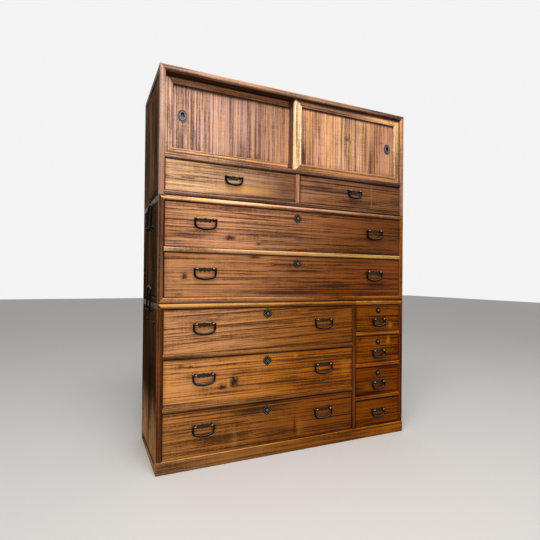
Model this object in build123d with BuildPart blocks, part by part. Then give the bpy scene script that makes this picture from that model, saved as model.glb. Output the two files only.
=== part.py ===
from build123d import *
import os
from math import asin, cos, pi, sin

# A Japanese clothing chest in three stacked sections. Lengths are in millimetres. +X is the
# viewer's right, +Y runs from the front to the back and +Z is up. The origin is on the
# floor, under the middle of the whole chest with its ironwork.

# ---- overall sizes of the wooden cases
case_width = 1200
case_depth = 420
bottom_height = 654
middle_height = 419
top_height = 502

# ---- boards of the cases
side_thickness = 22          # side frames, and the width of the front edge strips
edge_depth = 10              # front edge strips and plinth, from front to back
edge_round = 6
board_thickness = 22         # top board of each case
floor_thickness = 14
shelf_thickness = 10
back_thickness = 8
post_depth = 30              # posts of the side frames, from front to back
side_rail_height = 24
panel_thickness = 12         # side panels
panel_recess = 4
groove_depth = 6             # how far a panel enters its frame
groove_gap = 0.1
wall_thickness = 12          # partition boards behind the dividers

# ---- rails, dividers and plinth seen at the front
plinth_height = 50
rail_height = 20
rail_depth = 40
rail_round = 6
divider_width = 20
wide_bay_width = 875         # clear width of the left bay of the bottom case
top_bottom_rail = 18
door_shelf_height = 24
door_shelf_round = 9
cupboard_height = 315        # clear height of the door opening
wide_drawer_shares = (181, 186, 175)           # how the openings share out the bay's height, from the lowest up
small_drawer_shares = (129, 135, 130, 128)     # the same on the right

# ---- sliding doors
door_thickness = 20
door_setback = 10.5          # from the front of the case to the face of the front door
door_track_gap = 4.5         # between the two doors
door_overlap = 24
door_frame_width = 33
door_head_width = 41         # the top rail is wider than the rest of the frame
door_panel_thickness = 9
door_panel_recess = 5
door_edge_round = 2.5
track_side_gap = 0.5         # between a door and the wall of its groove
track_floor_gap = 0.3
lower_track_depth = 4
upper_track_depth = 14
upper_door_entry = 8         # how far a closed door reaches into the upper track
pull_width = 38
pull_height = 52
pull_cup_width = 18
pull_cup_height = 30
pull_flange = 1.2
pull_rim_width = 3.5         # raised rim round the cup
pull_rim_height = 2.6
pull_round = 0.6
pull_wall = 1
pull_depth = 7
pull_from_stile = 40         # from the outer stile of the door to the middle of the pull
pull_raise = 6               # how far the pull's middle lies above the middle of the panel

# ---- drawers
drawer_front = 18
drawer_setback = 2
drawer_side_gap = 1.5
drawer_top_gap = 2
drawer_floor_gap = 0.3
drawer_rear_gap = 8
drawer_side = 10
drawer_side_drop = 14        # how far the sides stay below the top of the front
drawer_bottom = 6
drawer_bottom_raise = 2
drawer_back = 9
drawer_back_drop = 6         # how far the back stays below the sides
drawer_edge_round = 2

# ---- drawer bails and the posts that hold them
post_gap = 68                # between the two posts of a bail
small_post_gap = 53          # the same on the small drawers and the two top ones
bail_reach = 41              # from the pivot to the middle of the grip
small_bail_reach = 34
bail_bow = 9                 # how far the grip bows below its ends
bail_corner = 20
bail_crown = 75
bail_radius = 3.8
grip_radius = 4.9
bail_eye_radius = 4.4
pin_radius = 2
pin_gap = 0.08
bail_side_gap = 1.2          # between a post and the eye of the bail
post_standoff = 9            # from the drawer's face to the pivot
post_radius = 4.2
post_head_radius = 5
post_head_height = 4.5
post_neck = 3.5              # from the pivot to the foot of the head
rosette_radius = 6.5
rosette_thickness = 1.5
shank_radius = 2.4
shank_gap = 0.1
clench_length = 20
clench_width = 3
clench_thickness = 1.6
wide_bail_drops = (62, 67, 61)    # from the top of a wide drawer's opening to the pivots, from the lowest up
middle_bail_drop = 64        # the same in the middle case
bail_inset = 161             # from the end of a wide drawer's opening to the middle of a bail
top_bail_drop = 46           # the same on the two top drawers
top_bail_offset = 6          # how far their bails stand outside the middle

# ---- plates and locks
plate_thickness = 1.2
plate_gap = 0.5
plate_height = 13
plate_corner = 5
plate_lower = 2.5            # how far the plate's middle lies below the pivots
plate_lobe = 8               # three lobes below the plate's body
plate_drop = 4
plate_crest = 9              # one lobe above it
plate_lift = 2.5             # how far the lobe's middle lies below the pivots
lozenge_side = 30
lozenge_corner = 6
lozenge_lobe = 4.5           # lobes at the corners and along the edges of a lock plate
lozenge_reach = 16.5
lozenge_edge_lobe = 6
wide_lock_drops = (34, 31, 26)    # from the top of a wide drawer's opening to the middle of its lock
middle_lock_drop = 31        # the same in the middle case
small_lock_drops = (31, 31, 27)   # the same on the small drawers, from the second lowest up
round_plate_radius = 14
round_plate_rise = 3.4
small_bail_drop = 42         # from a round lock plate down to the pivots below it
lowest_bail_drop = 52        # from the top of the lowest small drawer's opening to its pivots
boss_radius = 8
boss_height = 3.2
boss_round = 2.6
keyhole_radius = 2
keyhole_slot = 8
keyhole_slot_width = 2.4
key_bore_radius = 3.5
lock_width = 44
lock_height = 32
lock_depth = 10

# ---- carrying bails on the sides
carry_setback = 190          # from the front of the case to the middle of the bail
carry_gap = 70               # between the two posts
carry_side_gap = 1.4
carry_reach = 102
carry_bow = 6
carry_corner = 18
carry_crown = 160
carry_radius = 3.6
carry_grip_radius = 4.4
carry_eye_radius = 5
carry_pin_radius = 2.6
carry_standoff = 9           # from the plane of the side frames to the pivot
carry_rest_gap = 0.3
carry_post_radius = 5
carry_head_radius = 6
carry_head_height = 5
carry_neck = 4
carry_rosette_radius = 9
carry_shank_radius = 3
carry_clench_length = 26
middle_carry_drop = 113      # pivots below the top of the middle case
bottom_carry_drop = 36       # pivots below the top of the bottom case
stud_drop = 45               # studs below the pivots of the bottom case
stud_gap = 176
stud_radius = 8
stud_height = 6
stud_shank_radius = 2

# ---- places that follow from the sizes above
iron_projection = post_standoff + post_neck + post_head_height - drawer_setback
front = -(case_depth + iron_projection) / 2 + iron_projection
back = front + case_depth
half_width = case_width / 2
inner = half_width - side_thickness
body_front = front + edge_depth
back_front = back - back_thickness
rail_back = front + rail_depth
middle_floor = bottom_height
top_floor = bottom_height + middle_height
chest_height = top_floor + top_height
drawer_face = front + drawer_setback
drawer_inside = drawer_face + drawer_front
drawer_rear = back_front - drawer_rear_gap


def block(x, y, z, mode=Mode.ADD):
    """Adds or cuts a box between the low and high limits on each axis."""
    with Locations(((x[0] + x[1]) / 2, (y[0] + y[1]) / 2, (z[0] + z[1]) / 2)):
        Box(x[1] - x[0], y[1] - y[0], z[1] - z[0], mode=mode)


def board(x, y, z, cuts=()):
    """A squared board with straight grooves."""
    with BuildPart() as piece:
        block(x, y, z)
        for cut in cuts:
            block(*cut, mode=Mode.SUBTRACT)
    return piece.part


def rounded_board(x, y, z, radius, along):
    """A board whose two long front edges are rounded; along is Axis.X or Axis.Z."""
    with BuildPart() as piece:
        block(x, y, z)
        face = piece.faces().sort_by(Axis.Y)[0]
        fillet(face.edges().filter_by(along), radius)
    return piece.part


def frame_member(outline, y, radius, along, groove=None):
    """A mitred frame member, drawn in the XZ plane, with rounded front edges."""
    with BuildPart() as piece:
        with BuildSketch(Plane.XZ.offset(-y[0])):
            Polygon(*outline)
        extrude(amount=y[0] - y[1])
        face = piece.faces().sort_by(Axis.Y)[0]
        fillet(face.edges().filter_by(along), radius)
        if groove:
            block(*groove, mode=Mode.SUBTRACT)
    return piece.part


def stile_outline(outer, inner_x, z, mitres):
    """Corners of an upright frame member; mitres are the widths of the rails at its foot and head."""
    return [(outer, z[0]), (inner_x, z[0] + mitres[0]), (inner_x, z[1] - mitres[1]), (outer, z[1])]


def rail_outline(x, outer, inner_z, mitre):
    """Corners of a level frame member; mitre is the width of the stiles at its ends."""
    return [(x[0], outer), (x[1], outer), (x[1] - mitre, inner_z), (x[0] + mitre, inner_z)]


def floors_in(bay_z, shares):
    """Floors of the drawers that share out the height of a bay, from the lowest up."""
    clear = bay_z[1] - bay_z[0] - (len(shares) - 1) * rail_height
    floors = [bay_z[0]]
    for share in shares[:-1]:
        floors.append(floors[-1] + clear * share / sum(shares) + rail_height)
    return floors


def ceilings_under(floors, high):
    """Tops of the openings of the same drawers."""
    return [floor - rail_height for floor in floors[1:]] + [high]


def edge_strips(z, mitre_low):
    """The strips on the front edges of a case: two stiles, the top and perhaps the bottom."""
    y = (front, body_front)
    x = (-half_width, half_width)
    mitres = (side_thickness if mitre_low else 0, side_thickness)
    strips = [
        frame_member(stile_outline(-half_width, -inner, z, mitres), y, edge_round, Axis.Z),
        frame_member(stile_outline(half_width, inner, z, mitres), y, edge_round, Axis.Z),
        frame_member(rail_outline(x, z[1], z[1] - side_thickness, side_thickness), y, edge_round, Axis.X),
    ]
    if mitre_low:
        bottom = rail_outline(x, z[0], z[0] + side_thickness, side_thickness)
        strips.append(frame_member(bottom, y, edge_round, Axis.X))
    return strips


def save(name, pieces):
    """Writes one node, as a group of separate solids."""
    node = Compound(pieces)
    node.label = name
    export_step(node, f"parts/{name}.step")
    print(name, len(node.solids()), "solids")


# ---- parts of the cases


def side_frame(side, z, holes):
    """Front post, back post, bottom rail and panel of one side; side is -1 or 1."""
    outer = side * half_width
    x = sorted((outer, side * inner))
    face = outer - side * panel_recess
    panel_x = sorted((face, face - side * panel_thickness))
    front_post = (body_front, body_front + post_depth)
    back_post = (back - post_depth, back)
    rail_z = (z[0], z[0] + side_rail_height)
    groove_x = (panel_x[0] - groove_gap, panel_x[1] + groove_gap)
    groove_y = (front_post[1] - groove_depth - groove_gap, back_post[0] + groove_depth + groove_gap)
    groove = (groove_x, groove_y, (rail_z[1] - groove_depth - groove_gap, z[1]))
    panel_y = (front_post[1] - groove_depth, back_post[0] + groove_depth)
    with BuildPart() as panel:
        block(panel_x, panel_y, (rail_z[1] - groove_depth, z[1]))
        for y, height, radius in holes:
            with Locations(((panel_x[0] + panel_x[1]) / 2, y, height)):
                Cylinder(radius, panel_thickness, rotation=(0, 90, 0), mode=Mode.SUBTRACT)
    return [
        board(x, front_post, z, [groove]),
        board(x, back_post, z, [groove]),
        board(x, (front_post[1], back_post[0]), rail_z, [groove]),
        panel.part,
    ]


def case_back(z):
    return board((-inner, inner), (back_front, back), z)


def case_top(z_top, cuts=()):
    x = (-half_width, half_width)
    return board(x, (body_front, back), (z_top - board_thickness, z_top), cuts)


def case_floor(z_top):
    return board((-inner, inner), (body_front, back_front), (z_top - floor_thickness, z_top))


def shelf(x, z_top):
    return board(x, (rail_back, back_front), (z_top - shelf_thickness, z_top))


def rail(x, z_top):
    return rounded_board(x, (front, rail_back), (z_top - rail_height, z_top), rail_round, Axis.X)


def divider(middle, z):
    """A short upright between two drawers and the partition board behind it."""
    half = divider_width / 2
    wall = wall_thickness / 2
    return [
        rounded_board((middle - half, middle + half), (front, rail_back), z, rail_round, Axis.Z),
        board((middle - wall, middle + wall), (rail_back, back_front), z),
    ]


# ---- iron fittings


def turned_post(centre, axis_plane, radius, neck, head, rosette, shank, pin, clench):
    """One forged post: rosette, stem with a cross hole, domed head, shank and clenched tail.

    The plane lies across the post with its local x along the bail's axis and its local y
    pointing inward; lengths along the post are counted from the face that it stands on.
    """
    standoff = neck[0]
    head_foot = -standoff - neck[1]
    head_radius, head_height = head
    dome_radius = (head_radius**2 + head_height**2) / (2 * head_height)
    rosette_edge, thickness = rosette
    shank_edge, shank_length = shank
    length, width, tail = clench
    with BuildPart() as post:
        with BuildSketch(axis_plane):
            with BuildLine():
                Polyline(
                    (0, shank_length),
                    (shank_edge, shank_length),
                    (shank_edge, 0),
                    (rosette_edge, 0),
                    (rosette_edge, -thickness),
                    (radius, -thickness),
                    (radius, head_foot),
                    (head_radius, head_foot),
                )
                RadiusArc((head_radius, head_foot), (0, head_foot - head_height), dome_radius)
                Line((0, head_foot - head_height), (0, shank_length))
            make_face()
        revolve(axis=Axis(centre, axis_plane.y_dir))
        with Locations(axis_plane):
            with Locations((0, -standoff, 0)):
                Cylinder(pin + pin_gap, 3 * radius, rotation=(0, 90, 0), mode=Mode.SUBTRACT)
            with Locations((0, shank_length + tail / 2, 0)):
                Box(length, tail, width)
    return post.part


def swing_bail(seat, gap, stem, side_gap, reach, bow, corner, crown, radii, eye, pin):
    """A bail in the XY plane of its seat: the pivot on local X, the grip towards local +Y."""
    radius, middle_radius = radii
    leg = gap / 2 + stem + side_gap + radius
    pin_start = gap / 2 - stem
    with BuildLine(seat) as outline:
        FilletPolyline(
            (-leg, 0),
            (-leg, reach - bow),
            (0, reach),
            (leg, reach - bow),
            (leg, 0),
            radius=(corner, crown, corner),
        )
    with BuildPart() as bail:
        for place, size in ((0, radius), (0.5, middle_radius), (1, radius)):
            with BuildSketch(Plane(outline.line @ place, z_dir=outline.line % place)):
                Circle(size)
        sweep(path=outline.line, multisection=True)
        with Locations(seat):
            with Locations((-leg, 0, 0), (leg, 0, 0)):
                Cylinder(eye, 2 * radius, rotation=(0, 90, 0))
            middle = (leg + pin_start) / 2
            with Locations((-middle, 0, 0), (middle, 0, 0)):
                Cylinder(pin, leg - pin_start, rotation=(0, 90, 0))
    return bail.part


def drawer_post(x, z):
    plane = Plane(origin=(x, drawer_face, z), x_dir=(1, 0, 0), z_dir=(0, 0, 1))
    return turned_post(
        (x, drawer_face, z),
        plane,
        post_radius,
        (post_standoff, post_neck),
        (post_head_radius, post_head_height),
        (rosette_radius, rosette_thickness),
        (shank_radius, drawer_front),
        pin_radius,
        (clench_length, clench_width, clench_thickness),
    )


def cloud_plate(x, z, gap):
    """The plate on the drawer's face between the two posts of a bail."""
    half = gap / 2 - rosette_radius - plate_gap
    with BuildPart() as plate:
        with BuildSketch(Plane.XZ.offset(-drawer_face)):
            with Locations((x, z - plate_lower)):
                RectangleRounded(2 * half, plate_height, plate_corner)
            with Locations(*[(x + step * 2 * half / 3, z - plate_drop) for step in (-1, 0, 1)]):
                Circle(plate_lobe)
            with Locations((x, z - plate_lift)):
                Circle(plate_crest)
        extrude(amount=plate_thickness)
    return plate.part


def cut_keyhole(x, z, depth):
    """Cuts a keyhole, from the drawer's face outwards, in the plate that is being built."""
    with BuildSketch(Plane.XZ.offset(-drawer_face)) as outline:
        with Locations((x, z + keyhole_slot / 3)):
            Circle(keyhole_radius)
        with Locations((x, z)):
            Rectangle(keyhole_slot_width, keyhole_slot)
    extrude(outline.sketch, amount=depth, mode=Mode.SUBTRACT)


def lozenge_plate(x, z):
    """A lozenge lock plate with a scalloped edge and a domed boss round its keyhole."""
    seat = Plane(origin=(x, drawer_face, z), x_dir=(1, 0, 0), z_dir=(0, -1, 0))
    corners = [(lozenge_reach, 0), (0, lozenge_reach), (-lozenge_reach, 0), (0, -lozenge_reach)]
    edges = []
    for start, end in zip(corners, corners[1:] + corners[:1]):
        for part in (1 / 3, 2 / 3):
            edges.append(((1 - part) * start[0] + part * end[0], (1 - part) * start[1] + part * end[1]))
    with BuildPart() as plate:
        with BuildSketch(seat):
            RectangleRounded(lozenge_side, lozenge_side, lozenge_corner, rotation=45)
            with Locations(*corners):
                Circle(lozenge_lobe)
            with Locations(*edges):
                Circle(lozenge_edge_lobe)
        extrude(amount=plate_thickness)
        with BuildSketch(seat):
            Circle(boss_radius)
        extrude(amount=plate_thickness + boss_height)
        fillet(plate.edges().group_by(Axis.Y)[0], boss_round)
        cut_keyhole(x, z, plate_thickness + boss_height)
    return plate.part


def round_plate(x, z):
    """A domed round lock plate with a keyhole."""
    seat = Plane(origin=(x, drawer_face, z), x_dir=(1, 0, 0), z_dir=(0, 0, 1))
    rise = round_plate_rise - plate_thickness
    dome = (round_plate_radius**2 + rise**2) / (2 * rise)
    with BuildPart() as plate:
        with BuildSketch(seat):
            with BuildLine():
                Polyline((0, 0), (round_plate_radius, 0), (round_plate_radius, -plate_thickness))
                RadiusArc((round_plate_radius, -plate_thickness), (0, -round_plate_rise), dome)
                Line((0, -round_plate_rise), (0, 0))
            make_face()
        revolve(axis=Axis((x, drawer_face, z), (0, 1, 0)))
        cut_keyhole(x, z, round_plate_rise)
    return plate.part


def lock_case(x, z):
    """The lock on the inner face of a drawer front, behind its plate."""
    half = lock_width / 2
    y = (drawer_inside, drawer_inside + lock_depth)
    return board((x - half, x + half), y, (z - lock_height / 2, z + lock_height / 2))


# ---- whole drawers


def drawer_wood(x, z, posts, lock):
    """Front, two sides, bottom and back of a drawer; x and z are the limits of its front."""
    side_top = z[1] - drawer_side_drop
    bottom = z[0] + drawer_bottom_raise
    between = (x[0] + drawer_side, x[1] - drawer_side)
    with BuildPart() as face:
        block(x, (drawer_face, drawer_inside), z)
        fillet(face.faces().sort_by(Axis.Y)[0].edges(), drawer_edge_round)
        middle = (drawer_face + drawer_inside) / 2
        with Locations(*[(post[0], middle, post[1]) for post in posts]):
            Cylinder(shank_radius + shank_gap, drawer_front, rotation=(90, 0, 0), mode=Mode.SUBTRACT)
        if lock:
            with Locations((lock[0], middle, lock[1])):
                Cylinder(key_bore_radius, drawer_front, rotation=(90, 0, 0), mode=Mode.SUBTRACT)
    return [
        face.part,
        board((x[0], between[0]), (drawer_inside, drawer_rear), (z[0], side_top)),
        board((between[1], x[1]), (drawer_inside, drawer_rear), (z[0], side_top)),
        board(between, (drawer_inside, drawer_rear - drawer_back), (bottom, bottom + drawer_bottom)),
        board(between, (drawer_rear - drawer_back, drawer_rear), (bottom, side_top - drawer_back_drop)),
    ]


def drawer(name, bay_x, bay_z, bails, pivot, gap, reach, lock=None, plate=lozenge_plate):
    """A drawer in its bay: its wood, its iron fittings and its bails.

    bails maps each bail's name to its middle; lock is the middle of the lock plate.
    """
    x = (bay_x[0] + drawer_side_gap, bay_x[1] - drawer_side_gap)
    z = (bay_z[0] + drawer_floor_gap, bay_z[1] - drawer_top_gap)
    posts = []
    for middle in bails.values():
        posts.append((middle - gap / 2, pivot))
        posts.append((middle + gap / 2, pivot))
    save(f"{name}_box", drawer_wood(x, z, posts, lock))
    iron = [drawer_post(*post) for post in posts]
    iron += [cloud_plate(middle, pivot, gap) for middle in bails.values()]
    if lock:
        iron += [plate(*lock), lock_case(*lock)]
    save(f"{name}_iron", iron)
    for bail_name, middle in bails.items():
        origin = (middle, drawer_face - post_standoff, pivot)
        seat = Plane(origin=origin, x_dir=(1, 0, 0), z_dir=(0, 1, 0))
        radii = (bail_radius, grip_radius)
        shape = (reach, bail_bow, bail_corner, bail_crown)
        stem = (post_radius, bail_side_gap)
        bail = swing_bail(seat, gap, *stem, *shape, radii, bail_eye_radius, pin_radius)
        save(bail_name, [bail])


def two_bails(name, bay_x):
    """The names and middles of the two bails of a wide drawer."""
    return {f"{name}_left_bail": bay_x[0] + bail_inset, f"{name}_right_bail": bay_x[1] - bail_inset}


# ---- carrying bails


def carry_post(side, y, z):
    """A post of a carrying bail, standing on the side panel."""
    face = side * (half_width - panel_recess)
    plane = Plane(origin=(face, y, z), x_dir=(0, 1, 0), z_dir=(0, 0, side))
    return turned_post(
        (face, y, z),
        plane,
        carry_post_radius,
        (carry_standoff + panel_recess, carry_neck),
        (carry_head_radius, carry_head_height),
        (carry_rosette_radius, rosette_thickness),
        (carry_shank_radius, panel_thickness),
        carry_pin_radius,
        (carry_clench_length, clench_width, clench_thickness),
    )


def carry_bail(name, side, y, z):
    """A carrying bail turned up, leaning in until its grip is close to the side frames."""
    origin = (side * (half_width + carry_standoff), y, z)
    tilt = asin((carry_standoff - carry_grip_radius - carry_rest_gap) / carry_reach)
    seat = Plane(origin=origin, x_dir=(0, 1, 0), z_dir=(cos(tilt), 0, side * sin(tilt)))
    shape = (carry_reach, carry_bow, carry_corner, carry_crown)
    radii = (carry_radius, carry_grip_radius)
    stem = (carry_post_radius, carry_side_gap)
    bail = swing_bail(seat, carry_gap, *stem, *shape, radii, carry_eye_radius, carry_pin_radius)
    save(name, [bail])


def stud(side, y, z):
    """A domed iron stud on the side panel."""
    face = side * (half_width - panel_recess)
    dome = (stud_radius**2 + stud_height**2) / (2 * stud_height)
    with BuildPart() as piece:
        with BuildSketch(Plane(origin=(face, y, z), x_dir=(0, 1, 0), z_dir=(0, 0, side))):
            with BuildLine():
                Polyline((0, panel_thickness), (stud_shank_radius, panel_thickness))
                Polyline((stud_shank_radius, panel_thickness), (stud_shank_radius, 0), (stud_radius, 0))
                RadiusArc((stud_radius, 0), (0, -stud_height), dome)
                Line((0, -stud_height), (0, panel_thickness))
            make_face()
        revolve(axis=Axis((face, y, z), (1, 0, 0)))
    return piece.part


carry_middle = front + carry_setback
carry_posts_y = (carry_middle - carry_gap / 2, carry_middle + carry_gap / 2)
studs_y = (carry_middle - stud_gap / 2, carry_middle + stud_gap / 2)


def side_holes(pivot, stud_z=None):
    """Where the posts and studs pass through a side panel, with the radius of each hole."""
    holes = [(y, pivot, carry_shank_radius + shank_gap) for y in carry_posts_y]
    if stud_z:
        holes += [(y, stud_z, stud_shank_radius + shank_gap) for y in studs_y]
    return holes


# ---- the bottom case


def bottom_case():
    case_z = (0, bottom_height)
    side_z = (0, bottom_height - board_thickness)
    bay_z = (plinth_height, side_z[1])
    wide_bay = (-inner, -inner + wide_bay_width)
    small_bay = (wide_bay[1] + divider_width, inner)
    pivot = bottom_height - bottom_carry_drop
    stud_z = pivot - stud_drop
    holes = side_holes(pivot, stud_z)
    save("bottom_case_sides", side_frame(-1, side_z, holes) + side_frame(1, side_z, holes))

    wide_floors = floors_in(bay_z, wide_drawer_shares)
    wide_ceilings = ceilings_under(wide_floors, bay_z[1])
    small_floors = floors_in(bay_z, small_drawer_shares)
    small_ceilings = ceilings_under(small_floors, bay_z[1])

    divider_middle = wide_bay[1] + divider_width / 2
    upright, wall = divider(divider_middle, bay_z)
    strips = edge_strips((plinth_height, case_z[1]), False)
    rails = [rail(wide_bay, floor) for floor in wide_floors[1:]]
    rails += [rail(small_bay, floor) for floor in small_floors[1:]]
    save("bottom_case_front_frame", strips + rails + [upright])
    plinth_x = (-half_width, half_width)
    plinth = rounded_board(plinth_x, (front, body_front), (0, plinth_height), edge_round / 2, Axis.X)
    save("bottom_case_plinth", [plinth])

    wall_x = (divider_middle - wall_thickness / 2, divider_middle + wall_thickness / 2)
    boards = [case_back(side_z), case_top(case_z[1]), case_floor(bay_z[0]), wall]
    boards += [shelf((-inner, wall_x[0]), floor) for floor in wide_floors[1:]]
    boards += [shelf((wall_x[1], inner), floor) for floor in small_floors[1:]]
    save("bottom_case_back_and_shelves", boards)

    iron = []
    for side in (-1, 1):
        iron += [carry_post(side, y, pivot) for y in carry_posts_y]
        iron += [stud(side, y, stud_z) for y in studs_y]
    save("bottom_case_side_iron", iron)
    for side, word in ((-1, "left"), (1, "right")):
        carry_bail(f"bottom_{word}_carrying_bail", side, carry_middle, pivot)

    wide_middle = (wide_bay[0] + wide_bay[1]) / 2
    rows = zip(("wide_low", "wide_centre", "wide_high"), wide_floors, wide_ceilings, wide_bail_drops, wide_lock_drops)
    for name, floor, ceiling, bail_drop, lock_drop in rows:
        name = f"{name}_drawer"
        lock = (wide_middle, ceiling - lock_drop)
        bails = two_bails(name, wide_bay)
        drawer(name, wide_bay, (floor, ceiling), bails, ceiling - bail_drop, post_gap, bail_reach, lock)

    middle = (small_bay[0] + small_bay[1]) / 2
    locks = [(middle, top - drop) for top, drop in zip(small_ceilings[1:], small_lock_drops)]
    pivots = [small_ceilings[0] - lowest_bail_drop] + [lock[1] - small_bail_drop for lock in locks]
    rows = zip(small_floors, small_ceilings, pivots, [None] + locks)
    for number, (floor, ceiling, pivot_z, lock) in enumerate(rows, start=1):
        name = f"small_{number}_drawer"
        bails = {f"{name}_bail": middle}
        bay = (floor, ceiling)
        drawer(name, small_bay, bay, bails, pivot_z, small_post_gap, small_bail_reach, lock, round_plate)


# ---- the middle case


def middle_case():
    case_z = (middle_floor, middle_floor + middle_height)
    side_z = (case_z[0], case_z[1] - board_thickness)
    bay_z = (case_z[0] + side_thickness, case_z[1] - side_thickness)
    bay_x = (-inner, inner)
    pivot = case_z[1] - middle_carry_drop
    holes = side_holes(pivot)
    save("middle_case_sides", side_frame(-1, side_z, holes) + side_frame(1, side_z, holes))

    height = (bay_z[1] - bay_z[0] - rail_height) / 2
    floors = (bay_z[0], bay_z[0] + height + rail_height)
    save("middle_case_front_frame", edge_strips(case_z, True) + [rail(bay_x, floors[1])])
    boards = [case_back(side_z), case_top(case_z[1]), case_floor(bay_z[0]), shelf(bay_x, floors[1])]
    save("middle_case_back_and_shelves", boards)

    save("middle_case_side_iron", [carry_post(side, y, pivot) for side in (-1, 1) for y in carry_posts_y])
    for side, word in ((-1, "left"), (1, "right")):
        carry_bail(f"middle_{word}_carrying_bail", side, carry_middle, pivot)

    for name, floor in zip(("middle_low", "middle_high"), floors):
        name = f"{name}_drawer"
        ceiling = floor + height
        bails = two_bails(name, bay_x)
        lock = (0, ceiling - middle_lock_drop)
        drawer(name, bay_x, (floor, ceiling), bails, ceiling - middle_bail_drop, post_gap, bail_reach, lock)


# ---- the top case and its sliding doors


def door_track(setback):
    """Front and back of the groove that holds a door whose face is at this setback."""
    return (front + setback - track_side_gap, front + setback + door_thickness + track_side_gap)


def door(name, x, setback, z, pull_x):
    """A sliding door: four mitred members, a panel held in their grooves and a finger pull."""
    y = (front + setback, front + setback + door_thickness)
    inside_x = (x[0] + door_frame_width, x[1] - door_frame_width)
    inside_z = (z[0] + door_frame_width, z[1] - door_head_width)
    panel_y = (y[0] + door_panel_recess, y[0] + door_panel_recess + door_panel_thickness)
    panel_x = (inside_x[0] - groove_depth, inside_x[1] + groove_depth)
    panel_z = (inside_z[0] - groove_depth, inside_z[1] + groove_depth)
    groove = tuple((span[0] - groove_gap, span[1] + groove_gap) for span in (panel_x, panel_y, panel_z))
    mitres = (door_frame_width, door_head_width)
    outlines = [
        (stile_outline(x[0], inside_x[0], z, mitres), Axis.Z),
        (stile_outline(x[1], inside_x[1], z, mitres), Axis.Z),
        (rail_outline(x, z[0], inside_z[0], door_frame_width), Axis.X),
        (rail_outline(x, z[1], inside_z[1], door_frame_width), Axis.X),
    ]
    members = [frame_member(outline, y, door_edge_round, along, groove) for outline, along in outlines]
    save(f"{name}_frame", members)

    pull = (pull_x, (inside_z[0] + inside_z[1]) / 2 + pull_raise)
    cup = (pull_cup_width / 2 + pull_wall + groove_gap, pull_cup_height / 2 + pull_wall + groove_gap)
    with BuildPart() as panel:
        block(panel_x, panel_y, panel_z)
        with BuildSketch(Plane.XZ.offset(-panel_y[0])):
            with Locations(pull):
                Ellipse(*cup)
        extrude(amount=-pull_depth - pull_wall - groove_gap, mode=Mode.SUBTRACT)
    save(f"{name}_panel", [panel.part])
    save(f"{name}_pull", [finger_pull(pull, panel_y[0])])


def finger_pull(middle, face_y):
    """An oval iron cup with a raised rim and a flat flange, let into the door panel."""
    rim = 2 * pull_rim_width
    with BuildPart() as pull:
        with BuildSketch(Plane.XZ.offset(-face_y)):
            with Locations(middle):
                Ellipse(pull_width / 2, pull_height / 2)
        extrude(amount=pull_flange)
        fillet(pull.edges().group_by(Axis.Y)[0], pull_round)
        with BuildSketch(Plane.XZ.offset(-face_y)):
            with Locations(middle):
                Ellipse((pull_cup_width + rim) / 2, (pull_cup_height + rim) / 2)
        extrude(amount=pull_rim_height)
        with BuildSketch(Plane.XZ.offset(-face_y)):
            with Locations(middle):
                Ellipse(pull_cup_width / 2 + pull_wall, pull_cup_height / 2 + pull_wall)
        extrude(amount=-pull_depth - pull_wall)
        with BuildSketch(Plane.XZ.offset(-face_y + pull_rim_height)):
            with Locations(middle):
                Ellipse(pull_cup_width / 2, pull_cup_height / 2)
        extrude(amount=-pull_depth - pull_rim_height, mode=Mode.SUBTRACT)
        fillet(pull.edges().group_by(Axis.Y)[0], pull_round)
    return pull.part


def top_case():
    case_z = (top_floor, chest_height)
    side_z = (case_z[0], case_z[1] - board_thickness)
    bay_x = (-inner, inner)
    shelf_top = side_z[1] - cupboard_height
    drawer_z = (case_z[0] + top_bottom_rail, shelf_top - door_shelf_height)
    save("top_case_sides", side_frame(-1, side_z, []) + side_frame(1, side_z, []))

    bottom_z = (case_z[0], drawer_z[0])
    shelf_z = (drawer_z[1], shelf_top)
    strip_y = (front, body_front)
    upright, wall = divider(0, drawer_z)
    front_pieces = edge_strips(case_z, False)
    front_pieces.append(rounded_board(bay_x, strip_y, bottom_z, edge_round, Axis.X))
    front_pieces.append(rounded_board(bay_x, strip_y, shelf_z, door_shelf_round, Axis.X))
    front_pieces.append(upright)
    save("top_case_front_frame", front_pieces)

    setbacks = (door_setback, door_setback + door_thickness + door_track_gap)
    tracks = [door_track(setback) for setback in setbacks]
    lower = [(bay_x, track, (shelf_top - lower_track_depth, shelf_top)) for track in tracks]
    upper = [(bay_x, track, (side_z[1], side_z[1] + upper_track_depth)) for track in tracks]
    door_shelf = board(bay_x, (body_front, back_front), shelf_z, lower)
    boards = [case_back(side_z), case_top(case_z[1], upper), case_floor(drawer_z[0]), door_shelf, wall]
    save("top_case_back_and_shelves", boards)

    door_z = (shelf_top - lower_track_depth + track_floor_gap, side_z[1] + upper_door_entry)
    left_x = (-inner + track_side_gap, door_overlap / 2)
    right_x = (-door_overlap / 2, inner - track_side_gap)
    left_pull = left_x[0] + door_frame_width + pull_from_stile
    right_pull = right_x[1] - door_frame_width - pull_from_stile
    door("left_door", left_x, setbacks[1], door_z, left_pull)
    door("right_door", right_x, setbacks[0], door_z, right_pull)

    half = divider_width / 2
    pivot_z = drawer_z[1] - top_bail_drop
    for side, word, bay in ((-1, "left", (-inner, -half)), (1, "right", (half, inner))):
        name = f"top_{word}_drawer"
        bails = {f"{name}_bail": (bay[0] + bay[1]) / 2 + side * top_bail_offset}
        drawer(name, bay, drawer_z, bails, pivot_z, small_post_gap, small_bail_reach)


os.makedirs("parts", exist_ok=True)
bottom_case()
middle_case()
top_case()
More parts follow.
